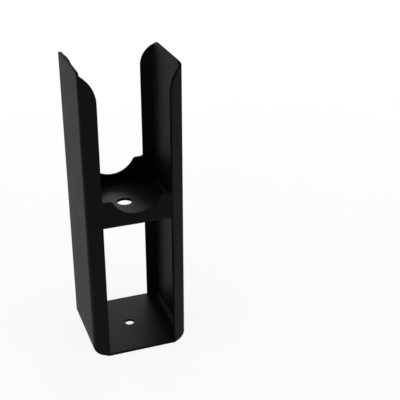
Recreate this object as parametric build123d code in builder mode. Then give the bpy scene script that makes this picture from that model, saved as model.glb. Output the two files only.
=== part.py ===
"""Slip-on floor foot for a two-column radiator: a U bracket of folded sheet steel.

One strip is folded into a U, and the long edges of its two uprights are folded in as
flanges. A folded saddle, with a round seat cut into each of its lips, is welded across
the U at mid height. The foot stands on the floor: origin under the middle of the base,
X across the U, Y through it from front to back, Z up. Millimetres.
"""

import os

from build123d import *

# Overall size
width = 70.0  # over the outer sides of the two uprights
depth = 70.0  # front to back, over the free edges of the flanges
height = 212.0

# Folded strip
sheet = 2.0
web_depth = 57.0  # side of an upright, to the sharp corners of its two bends
flange_reach = 9.8  # how far a flange comes in from the side of its upright
edge_bend = 4.0  # outer radius of the bends between web and flange
foot_bend = 6.0  # outer radius of the two bends at the floor
mouth_radius = 19.0  # rounding of the upper corners, measured along the strip

# Saddle
saddle_height = 103.0  # floor to the underside of the saddle
lip_rise = 20.0  # underside of the saddle to the top of its lips
lip_bend = 3.0  # outer radius of the fold under each lip
seat_radius = 19.1  # round seat in each lip, for the hub of the radiator
seat_rise = 27.8  # underside of the saddle to the centre of the seat
lip_corner = 3.0  # rounding at both ends of what is left of a lip's top
fit_gap = 0.05  # between the saddle and the uprights it is set between
weld_size = 2.5  # leg of the weld along each end of the saddle
weld_length = 50.0

# Holes
floor_hole = 7.0  # in the base, for an M6 floor screw
access_hole = 11.0  # in the saddle, right above the floor hole

os.makedirs("parts", exist_ok=True)


def folded_sheet(corners, bend):
    """Outline of the sheet folded along a line of outer corners, its ends cut square."""
    with BuildLine() as outline:
        FilletPolyline(*corners, radius=bend)
        offset(amount=sheet, side=Side.LEFT)
    return outline.edges()


def corner_waste(first, last):
    """What an upper corner leaves open between two distances along the strip."""
    with Locations((first, 0)):
        Rectangle(last - first, mouth_radius, align=(Align.MIN, Align.MAX))
    with Locations((0, -mouth_radius)):
        Circle(mouth_radius, mode=Mode.SUBTRACT)


# Both uprights seen from above: a web, and at each end of it a flange that leans out
# from the web to the full depth of the foot
side = width / 2
upright_corners = [
    (side - flange_reach, -depth / 2),
    (side, -web_depth / 2),
    (side, web_depth / 2),
    (side - flange_reach, depth / 2),
]
with BuildSketch() as uprights_plan:
    make_face(folded_sheet(upright_corners, edge_bend))
    mirror(about=Plane.YZ)

# The ground that the foot covers, and what is left of it between the uprights
with BuildSketch() as footprint:
    add(uprights_plan.sketch)
    make_hull()
with BuildSketch() as inside_plan:
    add(footprint.sketch)
    offset(uprights_plan.sketch, amount=fit_gap, mode=Mode.SUBTRACT)

# Base of the U with its two bends, at every place as wide as the ground it covers
bend_top = 2 * foot_bend
base_corners = [(-side, bend_top), (-side, 0), (side, 0), (side, bend_top)]
with BuildPart() as base:
    with BuildSketch(Plane.XZ):
        make_face(folded_sheet(base_corners, foot_bend))
    extrude(amount=depth / 2, both=True)
    extrude(footprint.sketch, amount=bend_top, mode=Mode.INTERSECT)

# The folded strip: uprights on the base, their lower ends round like the bends
with BuildPart() as cradle:
    extrude(uprights_plan.sketch, amount=height)
    with BuildSketch(Plane.XZ) as front_outline:
        Rectangle(width, height, align=(Align.CENTER, Align.MIN))
        fillet(front_outline.vertices().sort_by(Axis.Y)[:2], radius=foot_bend)
    extrude(amount=depth / 2, both=True, mode=Mode.INTERSECT)
    add(base.part)

    # upper corners rounded as one arc over web and flange, so that it slips over a column
    fold = Vector(side, web_depth / 2, height)
    along_flange = Vector(side - flange_reach, depth / 2, height) - fold
    on_web = mouth_radius - along_flange.length
    with BuildPart(mode=Mode.PRIVATE) as corner:
        with BuildSketch(Plane(fold - Vector(0, on_web, 0), (0, 1, 0), (1, 0, 0))):
            corner_waste(0, on_web)
        extrude(amount=3 * sheet, both=True)
        flange_start = fold - along_flange.normalized() * on_web
        with BuildSketch(Plane(flange_start, along_flange, along_flange.cross(Vector(0, 0, 1)))):
            corner_waste(on_web, mouth_radius)
        extrude(amount=3 * sheet, both=True)
        mirror(about=Plane.XZ)
        mirror(about=Plane.YZ)
    add(corner.part, mode=Mode.SUBTRACT)

    with Locations((0, 0, sheet / 2)):
        Hole(radius=floor_hole / 2)

# The saddle: a channel folded from sheet, its plan fitted to the inside of the uprights
saddle_top = saddle_height + sheet
lip_top = saddle_height + lip_rise
blank_top = lip_top + lip_corner
saddle_corners = [
    (-depth / 2, blank_top),
    (-depth / 2, saddle_height),
    (depth / 2, saddle_height),
    (depth / 2, blank_top),
]
with BuildPart() as saddle:
    with BuildSketch(Plane.YZ):
        make_face(folded_sheet(saddle_corners, lip_bend))
    extrude(amount=width / 2, both=True)
    extrude(inside_plan.sketch, amount=blank_top, mode=Mode.INTERSECT)

    # tops of the lips, with the round seats; they run up into the welds at the flanges
    seat_half = (seat_radius**2 - (seat_rise - lip_rise) ** 2) ** 0.5  # as wide as it is up there
    ear_length = side - flange_reach - seat_half  # what is left of a top on each side of it
    with BuildSketch(Plane.XZ) as seats:
        with Locations((0, lip_top)):
            Rectangle(2 * (side - flange_reach), 2 * seat_radius, align=(Align.CENTER, Align.MIN))
        with Locations((0, saddle_height + seat_rise)):
            Circle(seat_radius)
        fillet(seats.vertices().group_by(Axis.Y)[0], radius=min(lip_corner, 0.4 * ear_length))
    extrude(amount=depth / 2, both=True, mode=Mode.SUBTRACT)

    # welds along the two ends, in the corner between the saddle and a web
    with BuildSketch(Plane.XZ):
        with Locations((side - sheet - fit_gap, saddle_top)):
            Circle(weld_size)
            Rectangle(weld_size, weld_size, align=(Align.MAX, Align.MIN), mode=Mode.INTERSECT)
        mirror(about=Plane.YZ)
    extrude(amount=weld_length / 2, both=True)

    with Locations((0, 0, saddle_height + sheet / 2)):
        Hole(radius=access_hole / 2)

cradle.part.label = "cradle"
saddle.part.label = "saddle"
export_step(cradle.part, "parts/cradle.step")
export_step(saddle.part, "parts/saddle.step")
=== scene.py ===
"""Looks for the slip-on radiator foot: satin black powder coat on folded steel, in a white studio."""

import math

import bmesh
import bpy
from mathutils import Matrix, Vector


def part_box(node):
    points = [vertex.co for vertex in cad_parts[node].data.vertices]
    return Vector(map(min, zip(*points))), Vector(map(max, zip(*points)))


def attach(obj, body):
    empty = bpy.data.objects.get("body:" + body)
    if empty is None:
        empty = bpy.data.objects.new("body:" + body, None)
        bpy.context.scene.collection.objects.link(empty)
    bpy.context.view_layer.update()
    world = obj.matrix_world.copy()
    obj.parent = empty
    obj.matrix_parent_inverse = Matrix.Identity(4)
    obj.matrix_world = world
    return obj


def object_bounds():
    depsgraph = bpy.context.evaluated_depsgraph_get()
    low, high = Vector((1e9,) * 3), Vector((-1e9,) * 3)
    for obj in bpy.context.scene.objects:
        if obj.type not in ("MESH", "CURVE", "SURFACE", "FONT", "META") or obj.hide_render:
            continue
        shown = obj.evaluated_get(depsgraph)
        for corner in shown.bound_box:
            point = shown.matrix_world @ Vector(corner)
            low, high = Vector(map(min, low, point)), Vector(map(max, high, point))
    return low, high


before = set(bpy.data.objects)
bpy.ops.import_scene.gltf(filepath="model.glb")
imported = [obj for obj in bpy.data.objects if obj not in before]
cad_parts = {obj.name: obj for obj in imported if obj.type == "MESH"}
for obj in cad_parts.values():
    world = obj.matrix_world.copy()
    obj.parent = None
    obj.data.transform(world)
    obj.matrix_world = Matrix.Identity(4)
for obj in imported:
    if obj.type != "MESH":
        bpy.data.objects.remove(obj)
cad_low, cad_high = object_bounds()
saddle_low, saddle_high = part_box("saddle")

MM = 0.001
SHEET = 2 * MM
WHITE = (1.0, 1.0, 1.0, 1.0)

CAMERA_AZIMUTH = math.radians(-20.15)
CAMERA_ELEVATION = math.radians(26.07)
CAMERA_DISTANCE = 0.6275
AIM_ASIDE = 0.0541
LENS = 78.89  # on the default sensor, 36 mm wide

# Powder coat
COAT_DARK = 0.0034
COAT_LIGHT = 0.0046
COAT_GLOSS = 0.06
COAT_ROUGH = (0.5, 0.56)
EDGE_ROUGH = 0.3  # added on the cut edges
# painted shade: the tone kept on the upper cut edges, which are darkened to this share
EDGE_PAINTED_SHADE = 0.5

# Weld along each end of the saddle, in the corner with the side of an upright
WELD_LENGTH = 50.6 * MM
WELD_SIZE = 2.62 * MM
WELD_STEP = 1.7 * MM  # from one ripple to the next
RIPPLE = 0.16 * MM
RIPPLE_LEAD = 0.9  # how far the middle of a ripple runs ahead, in steps
SUNK = 0.3 * MM

# Studio
FLOOR_GREY = 0.8
SHADOW_DEPTH = 0.25
FLOOR_GLOW = 0.85
ROOM_LIGHT = 0.5


# ---------------------------------------------------------------- node helpers


def new_material(name):
    material = bpy.data.materials.new(name)
    material.use_nodes = True
    material.node_tree.nodes.clear()
    return material, material.node_tree


def add_node(tree, kind, settings=None, **inputs):
    """A node with its settings and inputs; an input given as a socket is linked."""
    node = tree.nodes.new(kind)
    for key, value in (settings or {}).items():
        setattr(node, key, value)
    for key, value in inputs.items():
        socket = node.inputs[key.replace("_", " ")]
        if isinstance(value, bpy.types.NodeSocket):
            tree.links.new(value, socket)
        else:
            socket.default_value = value
    return node


def noise(tree, place, scale, detail, roughness=0.5):
    return add_node(
        tree, "ShaderNodeTexNoise", Vector=place, Scale=scale, Detail=detail, Roughness=roughness
    ).outputs["Fac"]


def spread(tree, value, low, high):
    """A 0 to 1 pattern turned into low to high."""
    node = add_node(tree, "ShaderNodeMapRange", Value=value, To_Min=low, To_Max=high)
    return node.outputs["Result"]


def either(tree, first, second):
    node = add_node(tree, "ShaderNodeMath", {"operation": "MAXIMUM"})
    tree.links.new(first, node.inputs[0])
    tree.links.new(second, node.inputs[1])
    return node.outputs[0]


def mixed(tree, factor, first, second):
    node = add_node(tree, "ShaderNodeMixShader", Fac=factor)
    tree.links.new(first, node.inputs[1])
    tree.links.new(second, node.inputs[2])
    return node.outputs["Shader"]


# ---------------------------------------------------------------- materials


def cut_edges(tree):
    """1 on the upper cut edges of the sheet, facing up above the saddle: painted shade darkens them
    there, and the coat is made duller (rougher) on them.
    """
    surface = add_node(tree, "ShaderNodeNewGeometry").outputs
    facing = add_node(tree, "ShaderNodeSeparateXYZ", Vector=surface["True Normal"]).outputs["Z"]
    height = add_node(tree, "ShaderNodeSeparateXYZ", Vector=surface["Position"]).outputs["Z"]
    upward = add_node(tree, "ShaderNodeMapRange", Value=facing, From_Min=0.2, From_Max=0.5)
    low = saddle_low.z + 3 * SHEET
    high_up = add_node(tree, "ShaderNodeMapRange", Value=height, From_Min=low, From_Max=low + MM)
    both = add_node(tree, "ShaderNodeMath", {"operation": "MULTIPLY"})
    tree.links.new(upward.outputs["Result"], both.inputs[0])
    tree.links.new(high_up.outputs["Result"], both.inputs[1])
    return both.outputs[0]


def powder_coat():
    """Satin black powder coat: fine orange peel, a gloss that varies slightly, dull cut edges with
    painted shade on their upper faces.
    """
    material, tree = new_material("powder_coat_satin_black")
    place = add_node(tree, "ShaderNodeTexCoord").outputs["Object"]
    cloudy = noise(tree, place, 45, 3)
    peel = noise(tree, place, 750, 2, 0.45)
    grain = noise(tree, place, 4200, 2, 0.6)

    tone = add_node(tree, "ShaderNodeValToRGB", Fac=cloudy)
    dark, light = tone.color_ramp.elements
    dark.position, dark.color = 0.3, (COAT_DARK, COAT_DARK, COAT_DARK * 1.04, 1)
    light.position, light.color = 0.7, (COAT_LIGHT, COAT_LIGHT, COAT_LIGHT * 1.04, 1)

    # Painted shade darkens the upper cut edges; the same mask also adds roughness there.
    edge = cut_edges(tree)
    painted_edge_shade = add_node(
        tree, "ShaderNodeHueSaturation", Color=tone.outputs["Color"], Value=EDGE_PAINTED_SHADE, Fac=edge
    )
    rough = add_node(tree, "ShaderNodeMath", {"operation": "MULTIPLY_ADD"})
    tree.links.new(edge, rough.inputs[0])
    rough.inputs[1].default_value = EDGE_ROUGH
    tree.links.new(spread(tree, cloudy, *COAT_ROUGH), rough.inputs[2])

    coarse = add_node(tree, "ShaderNodeBump", Height=peel, Strength=0.35, Distance=0.00006)
    fine = add_node(
        tree,
        "ShaderNodeBump",
        Height=grain,
        Strength=0.25,
        Distance=0.00002,
        Normal=coarse.outputs["Normal"],
    )
    coat = add_node(
        tree,
        "ShaderNodeBsdfPrincipled",
        Base_Color=painted_edge_shade.outputs["Color"],
        Roughness=rough.outputs[0],
        Specular_IOR_Level=COAT_GLOSS,
        Normal=fine.outputs["Normal"],
    )
    add_node(tree, "ShaderNodeOutputMaterial", Surface=coat.outputs["BSDF"])
    return material


def matt_paint(tree, place, grey):
    return add_node(
        tree,
        "ShaderNodeBsdfDiffuse",
        Color=(grey, grey, grey, 1),
        Roughness=spread(tree, noise(tree, place, 20, 2), 0.6, 0.9),
    ).outputs["BSDF"]


def shown_rays(tree):
    """1 for the rays that see the background: straight, in a reflection or through glass."""
    seen = add_node(tree, "ShaderNodeLightPath").outputs
    shown = either(tree, seen["Is Camera Ray"], seen["Is Glossy Ray"])
    return either(tree, shown, seen["Is Transmission Ray"])


def floor_paint():
    """White with a faint shadow of the part where it shows, and pale matt to other rays."""
    material, tree = new_material("floor_paint")
    place = add_node(tree, "ShaderNodeTexCoord").outputs["Object"]
    glow = add_node(tree, "ShaderNodeEmission", Color=WHITE, Strength=FLOOR_GLOW)
    lifted = add_node(tree, "ShaderNodeAddShader")
    tree.links.new(matt_paint(tree, place, SHADOW_DEPTH), lifted.inputs[0])
    tree.links.new(glow.outputs["Emission"], lifted.inputs[1])
    matt = matt_paint(tree, place, FLOOR_GREY)
    surface = mixed(tree, shown_rays(tree), matt, lifted.outputs["Shader"])
    add_node(tree, "ShaderNodeOutputMaterial", Surface=surface)
    return material


# ---------------------------------------------------------------- the part


def soften_edges(node, width):
    """Rounds the cut edges of the sheet by a hair; the CAD mesh itself is not touched."""
    weld = node.modifiers.new("weld", "WELD")
    weld.merge_threshold = 0.02 * MM
    flat = node.modifiers.new("flat", "DECIMATE")
    flat.decimate_type, flat.angle_limit = "DISSOLVE", math.radians(0.6)
    bevel = node.modifiers.new("cut_edges", "BEVEL")
    bevel.offset_type, bevel.width, bevel.segments = "WIDTH", width, 2
    bevel.limit_method, bevel.angle_limit = "ANGLE", math.radians(40)
    bevel.use_clamp_overlap = False
    bevel.harden_normals = True


def dress(node, material, edge):
    node.data.materials.clear()
    node.data.materials.append(material)
    soften_edges(node, edge)


def weld_radius(along, turn):
    """Distance from the corner to the skin of the weld; turn goes from 0 at the saddle to 1."""
    lead = RIPPLE_LEAD * math.sin(math.pi * turn)
    step = along / WELD_STEP + lead + 0.15 * math.sin(along * 310) + 0.1 * math.sin(along * 770)
    ripple = 1 - (step - math.floor(step)) ** 2
    to_end = max(0.0, (abs(along) - WELD_LENGTH / 2 + WELD_SIZE / 2) / (WELD_SIZE / 2))
    uneven = 0.5 * RIPPLE * math.sin(along * 190 + 3 * turn)
    full = WELD_SIZE + (RIPPLE * ripple + uneven) * math.sin(math.pi * turn)
    return full * math.sqrt(max(0.0, 1 - to_end**2))


def make_weld(name, side, material):
    """A rippled bead that runs along the saddle's end; side is -1 for left and 1 for right."""
    corner = Vector((side * (cad_high.x - SHEET), 0, saddle_low.z + SHEET))
    rings = math.ceil(WELD_LENGTH / WELD_STEP * 8)
    steps = 10
    shape = bmesh.new()
    grid = []
    for ring in range(rings + 1):
        along = WELD_LENGTH * (ring / rings - 0.5)
        row = []
        for step in range(steps + 1):
            turn = step / steps
            angle = turn * math.pi / 2
            reach = weld_radius(along, turn)
            out = Vector((-side * math.cos(angle), 0, math.sin(angle))) * reach
            sink = Vector((side, 0, -1)) * SUNK * abs(2 * turn - 1) ** 6
            row.append(shape.verts.new(corner + out + sink + Vector((0, along, 0))))
        row.append(shape.verts.new(corner + Vector((side, 0, -1)) * SUNK + Vector((0, along, 0))))
        grid.append(row)
    for row, following in zip(grid, grid[1:]):
        for start, end in zip(range(len(row)), [*range(1, len(row)), 0]):
            shape.faces.new((row[start], row[end], following[end], following[start]))
    for row in (grid[0], grid[-1]):
        shape.faces.new(row)
    bmesh.ops.remove_doubles(shape, verts=shape.verts, dist=0.01 * MM)
    bmesh.ops.recalc_face_normals(shape, faces=shape.faces)
    for face in shape.faces:
        face.smooth = True
    mesh = bpy.data.meshes.new(name)
    shape.to_mesh(mesh)
    shape.free()
    bead = bpy.data.objects.new(name, mesh)
    bpy.context.scene.collection.objects.link(bead)
    bead.data.materials.append(material)
    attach(bead, "root")


# ---------------------------------------------------------------- studio


def staged_mesh(name, mesh_builder, material):
    mesh = bpy.data.meshes.new(name)
    shape = bmesh.new()
    mesh_builder(shape)
    shape.to_mesh(mesh)
    shape.free()
    thing = bpy.data.objects.new(name, mesh)
    bpy.context.scene.collection.objects.link(thing)
    thing.data.materials.append(material)
    return thing


def make_floor():
    floor = staged_mesh(
        "studio_floor",
        lambda shape: bmesh.ops.create_grid(shape, x_segments=8, y_segments=8, size=4.0),
        floor_paint(),
    )
    floor.location.z = cad_low.z - 0.1 * MM


def make_world():
    """White where it shows, and a plain soft light for the rest."""
    world = bpy.data.worlds.new("studio")
    bpy.context.scene.world = world
    world.use_nodes = True
    tree = world.node_tree
    tree.nodes.clear()
    soft = add_node(tree, "ShaderNodeBackground", Color=WHITE, Strength=ROOM_LIGHT).outputs[0]
    white = add_node(tree, "ShaderNodeBackground", Color=WHITE, Strength=1.0).outputs[0]
    surface = mixed(tree, shown_rays(tree), soft, white)
    add_node(tree, "ShaderNodeOutputWorld", Surface=surface)


def soft_box(name, azimuth, elevation, distance, width, height, power):
    """An area light that faces the part; azimuth 0 is the front and -90 the left."""
    light = bpy.data.lights.new(name, "AREA")
    light.shape, light.size, light.size_y, light.energy = "RECTANGLE", width, height, power
    box = bpy.data.objects.new(name, light)
    middle = (cad_low + cad_high) / 2
    back = direction(math.radians(azimuth), math.radians(elevation))
    box.location = middle + back * distance
    box.rotation_euler = (-back).to_track_quat("-Z", "Y").to_euler()
    bpy.context.scene.collection.objects.link(box)


def direction(azimuth, elevation):
    return Vector(
        (
            math.sin(azimuth) * math.cos(elevation),
            -math.cos(azimuth) * math.cos(elevation),
            math.sin(elevation),
        )
    )


def make_camera():
    middle = (cad_low + cad_high) / 2
    back = direction(CAMERA_AZIMUTH, CAMERA_ELEVATION)
    right = Vector((math.cos(CAMERA_AZIMUTH), math.sin(CAMERA_AZIMUTH), 0))
    data = bpy.data.cameras.new("camera")
    data.lens = LENS
    camera = bpy.data.objects.new("camera", data)
    camera.location = middle + right * AIM_ASIDE + back * CAMERA_DISTANCE
    camera.rotation_euler = (-back).to_track_quat("-Z", "Y").to_euler()
    bpy.context.scene.collection.objects.link(camera)
    bpy.context.scene.camera = camera


coat = powder_coat()
dress(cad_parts["cradle"], coat, 0.3 * MM)
dress(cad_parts["saddle"], coat, 0.1 * MM)
make_weld("weld_left", -1, coat)
make_weld("weld_right", 1, coat)

make_camera()
make_world()
make_floor()
soft_box("key_back", 160, 20, 1.4, 1.0, 0.25, 7)
bpy.context.scene.view_settings.view_transform = "Standard"
